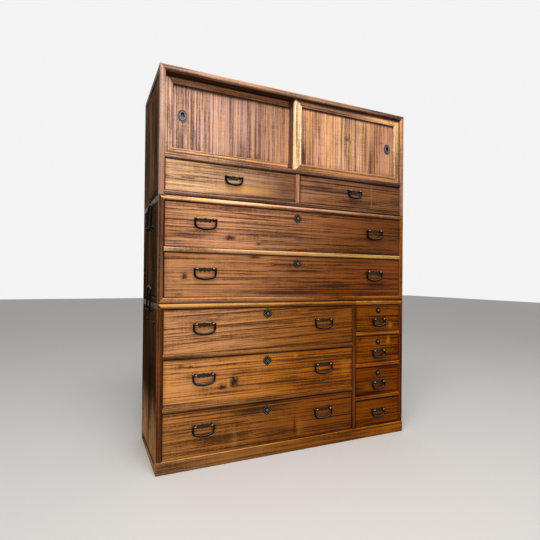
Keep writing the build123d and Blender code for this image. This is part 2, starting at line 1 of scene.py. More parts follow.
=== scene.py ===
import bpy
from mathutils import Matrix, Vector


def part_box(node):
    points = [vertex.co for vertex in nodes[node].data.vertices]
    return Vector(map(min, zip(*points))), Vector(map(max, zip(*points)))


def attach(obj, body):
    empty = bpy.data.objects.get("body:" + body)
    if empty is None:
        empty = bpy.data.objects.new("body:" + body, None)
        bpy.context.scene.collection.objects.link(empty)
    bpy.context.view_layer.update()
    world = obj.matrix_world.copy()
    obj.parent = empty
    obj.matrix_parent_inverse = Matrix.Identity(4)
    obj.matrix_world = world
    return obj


bl_info = {
    "name": "Isho clothing chest",
    "version": (1, 0, 0),
    "blender": (4, 5, 0),
    "location": "3D View > Sidebar > Chest",
    "description": "Wood, iron, nails and pegs for a stacked Japanese clothing chest",
    "category": "Object",
}

from collections import namedtuple
from functools import partialmethod, reduce
import math

import bmesh
import bpy
from bpy.props import FloatProperty, FloatVectorProperty, PointerProperty
from mathutils import Matrix, Vector

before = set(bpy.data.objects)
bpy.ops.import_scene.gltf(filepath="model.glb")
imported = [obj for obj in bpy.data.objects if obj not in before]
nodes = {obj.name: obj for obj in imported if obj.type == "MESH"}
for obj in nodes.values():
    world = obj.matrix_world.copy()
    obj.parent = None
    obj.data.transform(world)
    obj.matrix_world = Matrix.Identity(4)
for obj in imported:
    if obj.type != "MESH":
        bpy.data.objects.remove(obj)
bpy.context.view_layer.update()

# in metres
DRAWER_GAP = 0.0015  # between a drawer and the stile beside it
PLATE = 0.0012  # thickness of the iron plates
LOCK_REACH = 0.021  # from the middle of a wide drawer's lock plate to its tips
LOCK_DISC = 0.014  # radius of a small drawer's lock plate
LOCK_NAILS = 0.0165  # from the middle of a wide drawer's lock plate to its furthest nails
PULL_NAILS = 0.0222  # from the middle of a door's pull to its nails
PULL_RIM = 0.0014  # from the front of a pull to the face under its nails
FRONT_PEGS = 0.027  # from a drawer's face to the pegs of its front joint
BACK_PEGS = 0.005  # from the back of a drawer to the pegs of its rear joint
PEG_RISE = 0.0002  # how far the pegs stand out
HALF_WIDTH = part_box("bottom_case_plinth")[1].x
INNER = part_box("middle_high_drawer_box")[1].x + DRAWER_GAP
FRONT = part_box("bottom_case_plinth")[0].y
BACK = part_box("top_case_sides")[1].y
DRAWER_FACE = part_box("middle_high_drawer_box")[0].y

# in millimetres, as in all the shaders
SIDE, FACE = HALF_WIDTH * 1000, DRAWER_FACE * 1000
DRAWER_FRONT = 17.8  # thickness of a drawer's front board
RAIL_LIFT = 0.9  # a rail's middle above the middle of the gap between its drawers
DIVIDERS = {"bottom_case": (307, 0, 632.5), "top_case": (0, 1091, 1214)}  # x, foot and head of each
HALF_DIVIDER = 10.2  # half the width of a divider, with a little to spare
BORDER = 23  # width of the rounded strips beside the lower drawers
DOOR_STILE = 33  # width of a door's stiles and lower rail
DOOR_HEAD = 41  # height of a door's upper rail
SIDE_RAIL = 24  # height of the lower rail of a side
BELOW_ALL = (0, -500)  # where a drawer without a lock has its lock's middle


def tint(red, green, blue):
    """A colour from its 0 to 255 display values, as the linear colour that a shader takes."""
    return tuple((v / 255 / 12.92) if v < 11 else ((v / 255 + 0.055) / 1.055) ** 2.4 for v in (red, green, blue))


def colour(name, words, *values):
    return FloatVectorProperty(name=name, description=words, subtype="COLOR", size=3,
                               min=0, max=1, default=tint(*values))


def number(name, words, default, low, high, **settings):
    return FloatProperty(name=name, description=words, default=default, min=low, max=high, **settings)


# ---- settings


class ChestWood(bpy.types.PropertyGroup):
    pale: colour("Pale wood", "Frames of the sliding doors, bleached by daylight", 178, 136, 107)
    panel: colour("Panel wood", "Striped panels of the sliding doors", 200, 147, 106)
    rose: colour("Rose wood", "Top rails and stiles, bleached to a greyish rose", 156, 116, 88)
    rosy: colour("Rosy brown", "Small drawers under the doors", 152, 108, 76)
    honey: colour("Honey brown", "Drawers and rails of the middle section", 149, 97, 58)
    amber: colour("Amber brown", "Wide drawers of the bottom section", 150, 91, 34)
    chestnut: colour("Chestnut brown", "Small drawers, the lowest wide drawer and the plinth", 128, 70, 22)
    umber: colour("Umber", "Stiles of the lower sections", 84, 47, 24)
    side: colour("Dark sides", "Lacquer of the side frames", 66, 46, 32)
    worn_side: colour("Worn side", "Sides near the floor, where the lacquer is thin", 212, 160, 110)
    inner: colour("Bare wood", "Unfinished wood inside", 178, 142, 100)
    back: colour("Back boards", "Oiled planks of the back", 118, 92, 66)
    peg: colour("Peg", "End grain of the wooden pegs", 120, 84, 50)
    plank: number("Back plank", "Height of each plank of the back", 0.105, 0.05, 0.3, unit="LENGTH")


class ChestIron(bpy.types.PropertyGroup):
    black: colour("Black iron", "Main colour of the iron fittings", 9, 8, 7)
    # worn is also the colour of the painted highlight along the upper front faces
    worn: colour("Worn iron", "High spots that hands have polished", 126, 116, 100)
    # bright is the colour of the painted highlights on the lock bosses and the crowns of the posts
    bright: colour("Bright iron", "Crowns of the posts and the nail heads", 196, 190, 178)
    brown: colour("Brown iron", "Brown bloom in the hollows", 74, 54, 40)
    grey: colour("Grey iron", "The door pulls, rubbed to bare metal", 44, 43, 46)
    nail_radius: number("Nail head", "Radius of the nail heads on the plates", 0.0021, 0.0005, 0.003, unit="LENGTH")
    peg_radius: number("Peg", "Radius of the wooden pegs", 0.0025, 0.001, 0.006, unit="LENGTH")


class ChestStage(bpy.types.PropertyGroup):
    floor: colour("Floor", "Pale floor", 238, 236, 232)
    main_power: number("Main lamp", "Power of the soft main lamp in watts", 36, 0, 2000)
    fill_power: number("Fill lamp", "Power of the wide fill lamp in watts", 10, 0, 2000)
    top_power: number("Top lamp", "Power of the lamp above the front in watts", 34, 0, 2000)
    ambient: number("Ambient", "Strength of the even light from all round", 0.36, 0, 2)


# ---- shader wiring


class Shader:
    """Adds nodes to a material or node group and wires them up."""

    def __init__(self, tree):
        self.tree = tree

    def plug(self, socket, value):
        if isinstance(value, bpy.types.NodeSocket):
            self.tree.links.new(value, socket)
        elif hasattr(value, "__len__") and len(value) == 3 and len(socket.default_value) == 4:
            socket.default_value = (*value, 1)
        else:
            socket.default_value = value

    def add(self, kind, values, **settings):
        node = self.tree.nodes.new(kind)
        for name, setting in settings.items():
            setattr(node, name, setting)
        for key, value in values.items():
            self.plug(node.inputs[key], value)
        return node

    def math(self, operation, a, b=0, clamp=False):
        return self.add("ShaderNodeMath", {0: a, 1: b}, operation=operation, use_clamp=clamp).outputs[0]

    def vector(self, operation, a, b):
        return self.add("ShaderNodeVectorMath", {0: a, 1: b}, operation=operation).outputs[0]

    minus = partialmethod(math, "SUBTRACT")
    over = partialmethod(math, "DIVIDE")
    more = partialmethod(math, "GREATER_THAN")
    less = partialmethod(math, "LESS_THAN")
    size = partialmethod(math, "ABSOLUTE")
    most = partialmethod(math, "MAXIMUM")
    moved = partialmethod(vector, "ADD")
    scaled = partialmethod(vector, "MULTIPLY")

    def plus(self, *values):
        return reduce(lambda total, value: self.math("ADD", total, value), values)

    def times(self, *values):
        return reduce(lambda total, value: self.math("MULTIPLY", total, value), values)

    def apart(self, a, b):
        return self.size(self.minus(a, b))

    def within(self, value, start, end):
        """How far a value lies inside the nearer of two limits."""
        return self.minus((end - start) / 2, self.apart(value, (start + end) / 2))

    def length(self, a, b):
        return self.math("SQRT", self.plus(self.times(a, a), self.times(b, b)))

    def noise(self, vector, scale, detail=2, roughness=0.5):
        """Noise at a scale, which is one number or a number for each axis."""
        scale = scale if isinstance(scale, tuple) else (scale, scale, scale)
        values = {"Vector": self.scaled(vector, scale), "Scale": 1, "Detail": detail, "Roughness": roughness}
        return self.add("ShaderNodeTexNoise", values).outputs["Fac"]

    def smooth(self, value, low, high, start=0, end=1):
        """Eases from start to end as the value goes from low up to high."""
        values = {"Value": value, "From Min": low, "From Max": high, "To Min": start, "To Max": end}
        return self.add("ShaderNodeMapRange", values, interpolation_type="SMOOTHSTEP").outputs["Result"]

    def ridge(self, value, low, rise, fall, high):
        """1 between rise and fall, easing to 0 at low and at high."""
        return self.times(self.smooth(value, low, rise), self.smooth(value, high, fall))

    def mix(self, fac, a, b):
        return self.add("ShaderNodeMix", {0: fac, 6: a, 7: b}, data_type="RGBA").outputs[2]

    def painted(self, shown, coats):
        """Lays colours over each other; each coat is its mask and its colour."""
        for mask, coat in coats:
            shown = self.mix(mask, shown, coat)
        return shown

    def tinted(self, a, factor):
        return self.add("ShaderNodeMix", {0: 1, 6: a, 7: factor}, data_type="RGBA", blend_type="MULTIPLY").outputs[2]

    def toned(self, shown, layers):
        """Multiplies a colour again and again; each layer is its mask and its factor."""
        for mask, factor in layers:
            shown = self.mix(mask, shown, self.tinted(shown, factor))
        return shown

    def blend(self, fac, a, b):
        return self.add("ShaderNodeMix", {0: fac, 2: a, 3: b}, data_type="FLOAT").outputs[0]

    def switch(self, fac, a, b):
        return self.add("ShaderNodeMix", {0: fac, 4: a, 5: b}, data_type="VECTOR").outputs[1]

    def combine(self, x, y, z):
        return self.add("ShaderNodeCombineXYZ", {0: x, 1: y, 2: z}).outputs[0]

    def separate(self, vector):
        return self.add("ShaderNodeSeparateXYZ", {0: vector}).outputs[:]

    def grouped(self, name, values):
        """A node that uses one of the shared groups, which is made the first time."""
        group = bpy.data.node_groups.get(name) or GROUPS[name](name)
        return self.add("ShaderNodeGroup", values, node_tree=group).outputs


def new_group(name, given, made):
    """A node group; given and made list its inputs and outputs as (name, socket type)."""
    group = bpy.data.node_groups.new(name, "ShaderNodeTree")
    for direction, sockets in (("INPUT", given), ("OUTPUT", made)):
        for label, kind in sockets:
            group.interface.new_socket(label, in_out=direction, socket_type=f"NodeSocket{kind}")
    inside = group.nodes.new("NodeGroupInput")
    outside = group.nodes.new("NodeGroupOutput")
    return group, Shader(group), inside.outputs, outside.inputs


def sawn_wood(name):
    """Grain of a sawn board, in millimetres: X runs along the grain, Y across the face and Z into it."""
    group, s, given, made = new_group(name, [
        ("Grain", "Vector"), ("Light", "Color"), ("Middle", "Color"), ("Dark", "Color"),
        ("Ring width", "Float"), ("Heart height", "Float"), ("Heart depth", "Float"), ("Waver", "Float"),
        ("Rings", "Float"), ("Streaks", "Float"), ("Patches", "Float"),
    ], [("Colour", "Color"), ("Darkness", "Float"), ("Height", "Float")])
    grain = given["Grain"]

    def spread(along, across, detail, roughness=0.5, low=0.3, high=0.7):
        """Noise stretched along the grain, from -0.5 to 0.5."""
        fac = s.noise(grain, (along, across, across), detail, roughness)
        return s.smooth(fac, low, high, -0.5, 0.5)

    # growth rings round a heart that wanders below the face
    _, across, deep = s.separate(grain)
    sway = s.times(spread(0.0019, 0.0065, 1), given["Waver"])
    ripple = s.times(spread(0.011, 0.03, 1), 3)
    height = s.minus(s.plus(across, sway, ripple), given["Heart height"])
    depth = s.plus(deep, given["Heart depth"])
    reach = s.length(height, depth)
    ring = s.plus(s.over(reach, given["Ring width"]), s.times(spread(0.0006, 0.04, 1), 1.6))
    phase = s.math("FRACT", ring)
    band = s.times(s.smooth(phase, 0.42, 0.9), s.smooth(phase, 0.93, 1, 1, 0))
    year = s.add("ShaderNodeTexWhiteNoise", {"W": s.math("FLOOR", ring)}, noise_dimensions="1D").outputs["Value"]
    band = s.times(band, s.plus(s.times(year, year, 0.75), 0.25))

    streak = spread(0.0011, 0.035, 1)
    thread = spread(0.0016, 0.13, 2, 0.6, 0.42, 0.58)
    line = s.smooth(s.noise(grain, (0.0012, 0.15, 0.15), 1), 0.57, 0.66)
    spark = s.smooth(s.noise(s.moved(grain, (0, 333, 0)), (0.0016, 0.17, 0.17), 1), 0.58, 0.67)
    fleck = spread(0.014, 0.16, 2, 0.6, 0.38, 0.62)
    speck = spread(0.12, 0.2, 1, 0.5, 0.4, 0.6)
    fibre = spread(0.02, 1.7, 2, 0.6, 0.25, 0.75)
    patch = spread(0.0026, 0.009, 2)
    planed = spread(0.16, 0.012, 1)
    pores = s.smooth(s.noise(grain, (0.05, 2.2, 2.2), 1), 0.58, 0.72)

    dark = s.plus(
        0.46,
        s.times(s.minus(band, 0.2), given["Rings"]),
        s.times(s.plus(s.times(streak, 0.32), s.times(thread, 0.75), s.times(line, 0.7), s.times(spark, -0.55),
                       s.times(fleck, 0.35), s.times(speck, 0.2)), given["Streaks"]),
        s.times(patch, given["Patches"]),
        s.times(fibre, 0.2),
        s.times(planed, 0.12),
        s.times(pores, 0.1),
    )
    dark = s.math("ADD", dark, 0, clamp=True)
    low = s.mix(s.math("MULTIPLY", dark, 2, clamp=True), given["Light"], given["Middle"])
    high = s.math("MULTIPLY", s.minus(dark, 0.5), 2, clamp=True)
    golden = spread(0.005, 0.05, 2, 0.6, 0.36, 0.64)
    warmth = s.mix(s.plus(golden, 0.5), (1.06, 1.01, 0.82), (0.98, 0.99, 1.08))
    s.plug(made["Colour"], s.tinted(s.mix(high, low, given["Dark"]), warmth))
    s.plug(made["Darkness"], dark)
    lift = s.minus(s.times(fibre, 0.5), s.times(pores, 0.6))
    s.plug(made["Height"], s.minus(lift, s.times(band, 0.5)))
    return group


def oval_mark(name):
    """A soft oval mark with a ragged edge; its place and size are in millimetres."""
    group, s, given, made = new_group(name, [
        ("Place", "Vector"), ("Centre", "Vector"), ("Size", "Vector"), ("Strength", "Float"),
    ], [("Mask", "Float")])
    away = s.vector("DIVIDE", s.vector("SUBTRACT", given["Place"], given["Centre"]), given["Size"])
    values = {"Vector": away, "Scale": 1.1, "Detail": 4, "Roughness": 0.68}
    ragged = s.add("ShaderNodeTexNoise", values).outputs["Color"]
    away = s.moved(away, s.scaled(s.moved(ragged, (-0.5, -0.5, -0.5)), (2.2, 2.2, 2.2)))
    distance = s.add("ShaderNodeVectorMath", {0: away}, operation="LENGTH").outputs["Value"]
    core, rim = s.smooth(distance, 0.2, 1.1, 0.72, 0), s.smooth(distance, 0.3, 2, 0.28, 0)
    s.plug(made["Mask"], s.times(s.plus(core, rim), given["Strength"]))
    return group


GROUPS = {"Sawn wood": sawn_wood, "Oval mark": oval_mark}


class Finish(Shader):
    """The shader of a new material, with its surface and the place on the chest in millimetres."""

    def __init__(self, name):
        self.material = bpy.data.materials.new(name)
        self.material.use_nodes = True
        super().__init__(self.material.node_tree)
        self.surface = self.tree.nodes["Principled BSDF"]
        self.place = self.scaled(self.add("ShaderNodeTexCoord", {}).outputs["Object"], (1000, 1000, 1000))
        self.x, self.y, self.z = self.separate(self.place)

    def facing(self):
        """The parts of the normal along X, Y and Z."""
        return self.separate(self.add("ShaderNodeTexCoord", {}).outputs["Normal"])

    def dress(self, node):
        """Gives a CAD node this finish."""
        mesh = nodes[node].data
        mesh.materials.clear()
        mesh.materials.append(self.material)

    def coat(self, shown, rough):
        self.plug(self.surface.inputs["Base Color"], shown)
        self.plug(self.surface.inputs["Roughness"], rough)

    def emboss(self, height, strength):
        bump = self.add("ShaderNodeBump", {"Height": height, "Strength": strength, "Distance": 0.0005})
        self.plug(self.surface.inputs["Normal"], bump.outputs[0])


def in_mm(box):
    """The two corners of a box in millimetres."""
    return [corner * 1000 for corner in box]


# ---- wood finishes


def tones(name, light=(1.55, 1.62, 1.66), dark=(0.29, 0.27, 0.28)):
    """The light, middle and dark tone of a kind of wood."""
    main = getattr(bpy.context.scene.chest_wood, name)
    return tuple(m * v for m, v in zip(main, light)), tuple(main), tuple(m * v for m, v in zip(main, dark))


def grain_along(s, axis, seed, slope=0):
    """The grain vector of a board whose grain runs along X, Y or Z; each seed is another board."""
    x, y, z = s.x, s.y, s.z
    along, across, deep = {"X": (x, z, y), "Y": (y, z, x), "Z": (z, x, y), "flat": (x, y, z)}[axis]
    if slope:
        across = s.minus(across, s.times(along, slope))
    shift = (seed * 1370 % 9100, seed * 717 % 5300, 0)
    return s.moved(s.combine(along, across, deep), shift), shift


def wood(s, grain, palette, ring, heart, waver, rings, streaks, patches):
    light, middle, dark = palette
    made = s.grouped("Sawn wood", {
        "Grain": grain, "Light": light, "Middle": middle, "Dark": dark, "Ring width": ring,
        "Heart height": heart[0], "Heart depth": heart[1], "Waver": waver,
        "Rings": rings, "Streaks": streaks, "Patches": patches,
    })
    return made["Colour"], made["Darkness"], made["Height"]


def lacquer(s, shown, darkness, height, bare=None, gloss=0.36, shine=0.08):
    """Finishes a wood shader: sheen that follows the grain, and relief."""
    rough = s.plus(gloss, s.times(darkness, 0.16))
    if bare is not None:
        rough = s.blend(bare, rough, 0.72)
    s.coat(shown, rough)
    s.surface.inputs["Specular IOR Level"].default_value = shine
    s.emboss(height, 0.3)


def bleached_and_lit(s, shown):
    """Paler at the left and top of the front, deeper at the right: partly sun bleaching, partly painted light and
    sheen that fall off from the upper left.
    """
    light = s.plus(s.times(s.x, -0.0011), s.times(s.z, 0.0003), s.times(s.noise(s.place, 0.0022), 0.3))
    return s.tinted(shown, s.mix(s.smooth(light, 0, 0.86), (0.7, 0.5, 0.2), (1.45, 1.5, 1.75)))


def rubbed(s, shown, worn, dust_and_shade):
    """Upper and left-facing edges are made paler, partly wear and partly a painted highlight, and undersides are
    darkened, partly dust and partly painted shade.
    """
    normal = s.facing()
    up = s.times(s.smooth(normal[2], 0.2, 0.85), worn)
    left = s.times(s.smooth(normal[0], -0.25, -0.8), worn * 0.7)
    shown = s.toned(shown, [(s.most(up, left), (1.9, 1.95, 2))])
    return s.mix(s.times(s.smooth(normal[2], -0.15, -0.75), dust_and_shade), shown, tint(34, 16, 9))


DARK_MARK = tint(46, 24, 15)
PALE_MARK = tint(208, 142, 74)

# A drawer's front board: its wood, the width of its rings, the height of its heart above the middle
# and its depth, how far the grain wavers, the strength of its rings, streaks and patches, its tints at
# the left and at the right end (partly the board's own tone, partly painted light, mostly paler at the
# left), its marks as (x, z, half width, half height, strength), where a strength below 0 is a pale
# mark, and the slope of its grain.
Board = namedtuple("Board", "wood ring heart waver figure fade marks slope", defaults=(0,))

BOARDS = {
    "top_left_drawer": Board("rosy", 10, (-30, 60), 16, (0.5, 0.6, 0.6),
        ((1.36, 1.54, 1.43), (0.48, 0.45, 0.45)), [
        (-215, 1124, 120, 17, -0.85), (-540, 1180, 50, 20, 0.3), (-60, 1150, 60, 40, 0.35)]),
    "top_right_drawer": Board("honey", 9, (25, 60), 14, (0.5, 0.7, 0.6),
        ((0.73, 0.86, 1.25), (0.73, 0.94, 2)), [
        (402, 1150, 4, 75, -0.65), (330, 1110, 90, 14, 0.4), (120, 1170, 90, 24, 0.4)]),
    "middle_high_drawer": Board("honey", 9, (40, 70), 22, (0.5, 0.75, 0.5),
        ((1.12, 1.22, 1.41), (0.54, 0.51, 0.47)), [
        (-312, 921, 32, 13, 0.95), (-490, 925, 110, 9, 0.75), (-184, 900, 14, 6, 0.9),
        (-120, 950, 190, 12, 0.4), (-60, 905, 150, 9, 0.35), (-450, 1010, 120, 9, -0.3),
        (380, 948, 150, 13, 0.45), (180, 1000, 120, 7, 0.4), (470, 900, 110, 8, 0.45)]),
    "middle_low_drawer": Board("honey", 10, (-35, 70), 26, (0.5, 0.75, 0.5),
        ((0.87, 0.9, 0.87), (0.66, 0.54, 0.36)), [
        (-200, 845, 32, 8, 0.9), (-498, 762, 15, 16, 0.9), (-380, 729, 190, 2.5, 0.85),
        (-150, 740, 30, 2.5, 0.8), (-300, 705, 160, 7, 0.45), (-420, 740, 150, 5, -0.5),
        (40, 790, 160, 9, 0.45), (300, 835, 170, 8, 0.4), (440, 720, 120, 12, 0.5),
        (-520, 690, 14, 7, 0.5)]),
    "wide_high_drawer": Board("amber", 13, (-95, 80), 34, (0.45, 0.75, 0.45),
        ((1.08, 1.32, 2.97), (0.82, 0.91, 0.91)), [
        (-500, 600, 100, 12, 0.35), (60, 466, 190, 4, 0.55), (-120, 500, 200, 3, 0.5)], slope=0.045),
    "wide_centre_drawer": Board("amber", 15, (-70, 90), 30, (0.38, 0.75, 0.5),
        ((1.1, 1.26, 2.18), (1.27, 1.32, 0.36)), [
        (-288, 334, 27, 25, 1), (-339, 313, 20, 11, 0.95), (-312, 325, 7, 20, -0.4),
        (-508, 411, 17, 9, 0.7), (-469, 406, 11, 7, 0.7), (-300, 278, 300, 2.2, 0.8),
        (-3, 419, 14, 9, -0.5), (257, 352, 40, 40, -0.4)]),
    "wide_low_drawer": Board("chestnut", 13, (50, 85), 34, (0.35, 0.85, 0.6),
        ((1.13, 1.45, 2.2), (0.97, 1.11, 0.17)), [
        (-230, 196, 90, 14, 0.6), (-285, 100, 16, 50, -0.12), (-6, 108, 8, 40, 0.7),
        (20, 108, 18, 42, -0.25), (-100, 100, 80, 28, 0.5), (-520, 150, 70, 12, 0.4)]),
    "small_4_drawer": Board("chestnut", 8, (30, 50), 14, (0.5, 0.6, 0.5),
        ((1.12, 1.36, 0.49),) * 2, [
        (523, 533, 17, 15, -0.6)]),
    "small_3_drawer": Board("chestnut", 9, (-40, 50), 16, (0.5, 0.6, 0.5),
        ((1.21, 1.4, 0.23),) * 2, [
        (510, 464, 12, 24, -0.6), (340, 470, 14, 12, 0.6)]),
    "small_2_drawer": Board("chestnut", 8.5, (45, 52), 16, (0.5, 0.55, 0.6),
        ((0.93, 0.95, 0.07),) * 2, [
        (400, 240, 50, 14, -0.35)]),
    "small_1_drawer": Board("chestnut", 10, (-50, 60), 18, (0.5, 0.5, 0.6),
        ((1.08, 1.18, 0.03),) * 2, []),
}


def graded(s, value, start, end, shown, ends):
    """Tints a board by one factor at its start and another at its end."""
    return s.tinted(shown, s.mix(s.smooth(value, start, end), *ends))


def marked(s, shown, marks):
    """Adds knots, stains and pale patches to a front."""
    level = s.scaled(s.place, (1, 0, 1))
    for x, z, width, height, strength in marks:
        mask = s.grouped("Oval mark", {"Place": level, "Centre": (x, 0, z), "Size": (width, 1, height),
                                       "Strength": abs(strength)})["Mask"]
        shown = s.mix(mask, shown, DARK_MARK if strength > 0 else PALE_MARK)
    return shown


def finish_drawer(name, seed):
    """A lacquered front, and bare sides, bottom and back behind it."""
    board = BOARDS[name]
    low, high = in_mm(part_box(f"{name}_box"))
    middle = (low.z + high.z) / 2
    s = Finish(f"{name} wood")
    grain, shift = grain_along(s, "X", seed, board.slope)
    heart = (middle + board.heart[0] + shift[1], board.heart[1] - FACE)
    x, y = s.x, s.y
    rings, streaks, patches = board.figure
    streaks = s.blend(s.smooth(x, -100, 500), streaks, streaks * 1.4)
    shown, darkness, height = wood(s, grain, tones(board.wood), board.ring, heart, board.waver,
                                   rings, streaks, patches)
    # paler at the left and top, and the board's end tints: partly its own tone, partly painted light that is paler
    # at the left
    shown = bleached_and_lit(s, marked(s, shown, board.marks))
    shown = graded(s, x, low.x, high.x, shown, board.fade)
    # how far inside the nearest edge of the front
    inside = s.math("MINIMUM", s.within(x, low.x, high.x), s.within(s.z, low.z, high.z))
    # darker towards the edges, dust and painted shade where the front sits back in its opening
    cloud = s.noise(s.place, 0.03, 3, 0.6)
    dust_and_shade = s.times(s.smooth(s.plus(inside, s.times(cloud, 20)), 28, 8), 0.45)
    # rubbed: paler upper and left-facing edges, partly wear and partly painted highlight, and darker undersides,
    # partly dust and partly painted shade
    shown = rubbed(s, s.toned(shown, [(dust_and_shade, (0.4, 0.34, 0.3))]), 0.7, 0.5)
    # a painted shadow line along the edges of the front, for the shadow in the gap round it
    shown = s.mix(s.smooth(inside, 2.4, 0.8, 0, 0.8), shown, tint(38, 18, 10))
    bare_grain = grain_along(s, "Y", seed + 40)[0]
    bare = wood(s, bare_grain, tones("inner"), 5, (middle, 30), 14, 0.25, 0.3, 0.3)[0]
    behind = s.more(y, FACE + DRAWER_FRONT)
    shine = 0.03 if name.startswith("small") else 0.08
    lacquer(s, s.mix(behind, shown, bare), darkness, height, behind, shine=shine)
    s.dress(f"{name}_box")


def mitred(s, low, high, width, foot, head=1):
    """1 on the stiles of a frame with mitred corners, 0 on its rails.

    width is the stiles', head is the upper rail's height in stiles, and foot says if there is a lower rail.
    """
    across = s.within(s.x, low.x, high.x)
    stile = s.times(s.less(across, width), s.less(s.times(across, head), s.minus(high.z, s.z)))
    if foot:
        stile = s.times(stile, s.less(across, s.minus(s.z, low.z)))
    return stile


def member_wood(s, stile, palette, seed):
    """Wood that runs up the stiles and along the rails."""
    level = grain_along(s, "X", seed)[0]
    upright = grain_along(s, "Z", seed)[0]
    return wood(s, s.switch(stile, level, upright), palette, 5, (500, 90), 14, 0.4, 0.7, 0.6)


def over_rail(s, rails):
    """How far a point lies above the middle of the nearest rail, in millimetres; the rails go upwards."""
    middle = rails[0]
    for lower, upper in zip(rails, rails[1:]):
        middle = s.blend(s.more(s.z, (lower + upper) / 2), middle, upper)
    return s.minus(s.z, middle)


def gaps_between(*names):
    """The heights of the middles of the rails between drawers, named from the lowest up."""
    boxes = [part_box(f"{name}_drawer_box") for name in names]
    return [(lower[1].z + upper[0].z) * 500 + RAIL_LIFT for lower, upper in zip(boxes, boxes[1:])]


def finish_front(case, seed):
    """The front frame of a case: mitred edge strips, rails and dividers."""
    low, high = in_mm(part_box(f"{case}_front_frame"))
    s = Finish(f"{case} front wood")
    x, z = s.x, s.z
    stile = mitred(s, low, high, (HALF_WIDTH - INNER) * 1000, case == "middle_case")
    if case in DIVIDERS:
        divider, base, top = DIVIDERS[case]
        slim = s.times(s.less(s.apart(x, divider), HALF_DIVIDER), s.more(z, base), s.less(z, top))
        stile = s.most(stile, slim)
    level = s.minus(1, stile)
    rails, stiles = {"bottom_case": ("amber", "umber"), "middle_case": ("honey", "umber"),
                     "top_case": ("rose", "rose")}[case]
    shown, darkness, height = member_wood(s, stile, tones(rails), seed)
    shown = s.mix(stile, shown, member_wood(s, stile, tones(stiles), seed)[0])
    right = s.smooth(x, -560, 560)
    if case == "top_case":
        shelf = s.times(s.less(z, 1300), level)
        foot = s.times(s.less(z, base + 1), level)
        rise = s.smooth(z, 1150, 1480)
        # paler at the left and darker at the right, partly painted light that falls off to the right
        shown = s.tinted(shown, s.mix(right, (1.3, 1.33, 1.4), (0.85, 0.76, 0.74)))
        # the shelf rail, paler at the left and darker at the right as painted light, and its underside with painted
        # shade, the upper strip, the left and right strips, the lower strip and its lower edge with painted shade,
        # and the divider
        shown = s.toned(shown, [
            (shelf, s.mix(right, (1.34, 1.3, 1.28), (0.42, 0.4, 0.45))),
            (s.times(s.smooth(z, 1232, 1219), s.more(z, 1150), shelf), (0.5, 0.47, 0.45)),
            (s.times(s.more(z, 1500), level), s.mix(right, (0.9, 0.92, 1), (0.76, 0.8, 0.82))),
            (s.times(stile, s.less(x, -500)), s.mix(rise, (0.6, 0.56, 0.66), (1.05, 1.22, 1.55))),
            (s.times(stile, s.more(x, 500)), s.mix(rise, (1.3, 1.3, 1.3), (1.7, 1.7, 1.6))),
            (foot, s.mix(right, (0.46, 0.48, 0.62), (1.3, 1.15, 0.8))),
            (s.times(foot, s.smooth(z, 1082, 1076)), (0.45, 0.42, 0.4)),
            (slim, (0.88, 0.78, 0.64)),
        ])
    else:
        edge = high.z - 11    # the middle of the upper strip
        across = s.minus(SIDE, s.size(x))
        border = s.times(stile, s.less(across, BORDER))
        if case == "bottom_case":
            wide = over_rail(s, gaps_between("wide_low", "wide_centre", "wide_high") + [edge])
            small = over_rail(s, gaps_between("small_1", "small_2", "small_3", "small_4") + [edge])
            offset = s.blend(s.more(x, divider), wide, small)
            shown = s.toned(shown, [
                (level, s.mix(s.smooth(z, 460, 600), (0.64, 0.7, 0.95), (0.85, 0.85, 0.85))),
                (s.times(s.more(x, divider + 10), s.minus(1, border)),
                 s.mix(s.more(z, 420), (1.5, 1.25, 0.5), (1.9, 1.9, 1.3))),
                (slim, (2, 2.1, 0.75)),
            ])
            ends = (1.2, 1.4, 1.8), (2, 2.6, 3.6)
            outer, inner, right_side = (1, 0.8, 0.35), (0.75, 0.62, 0.27), (2, 1.7, 0.75)
        else:
            offset = over_rail(s, gaps_between("middle_low", "middle_high") + [edge])
            ends = (1.85, 2.05, 1.95), (1.25, 1.5, 2.4)
            outer, inner, right_side = (1.12, 1.2, 1.3), (1.25, 1.35, 1.5), (3.4, 4.2, 3)
        above = s.more(z, edge - 11.5)
        crown = s.times(above, level)
        # paler at the left and top, partly painted light; the edge strips toned from their outer to their inner
        # half, partly painted light on their rounded faces, and paler at the right; the rails paler above their
        # middle and darker below it, painted light and shade on their rounded noses; and a painted highlight along
        # the top of the upper strip
        shown = s.toned(bleached_and_lit(s, shown), [
            (border, s.mix(s.smooth(across, 9, 15), outer, inner)),
            (s.times(border, s.more(x, 0)), right_side),
            (level, s.mix(s.smooth(offset, -9, 4), (0.55, 0.55, 0.6), (1.18, 1.35, 1.75))),
            (s.times(s.ridge(z, edge - 5, edge + 1, edge + 7.5, edge + 9.5), crown), s.mix(right, *ends)),
        ])
        # a painted shadow line along the very top, where this case meets the one above
        shown = s.mix(s.times(crown, s.smooth(z, edge + 8, edge + 9.5), 0.7), shown, tint(30, 14, 8))
        if case == "middle_case":
            foot = s.times(s.less(z, low.z + 23), level)
            shown = s.toned(shown, [
                (foot, s.mix(s.smooth(z, low.z + 4, low.z + 18), (0.9, 0.9, 0.85), (2.3, 2.35, 1.9))),
                (s.times(s.less(s.apart(z, (low.z + high.z) / 2), 40), level), (1.25, 1.45, 1.4)),
                (s.times(level, s.smooth(x, -100, 500), s.minus(1, foot)),
                 s.mix(above, (1.6, 2.4, 3), (1, 1.15, 1.6))),
            ])
    # rubbed: paler upper and left-facing edges, partly wear and partly painted highlight, and undersides darkened,
    # partly dust and partly painted shade
    shown = rubbed(s, shown, 0.2 if case == "top_case" else 0.45, 0.6)
    lacquer(s, shown, darkness, height)
    s.dress(f"{case}_front_frame")


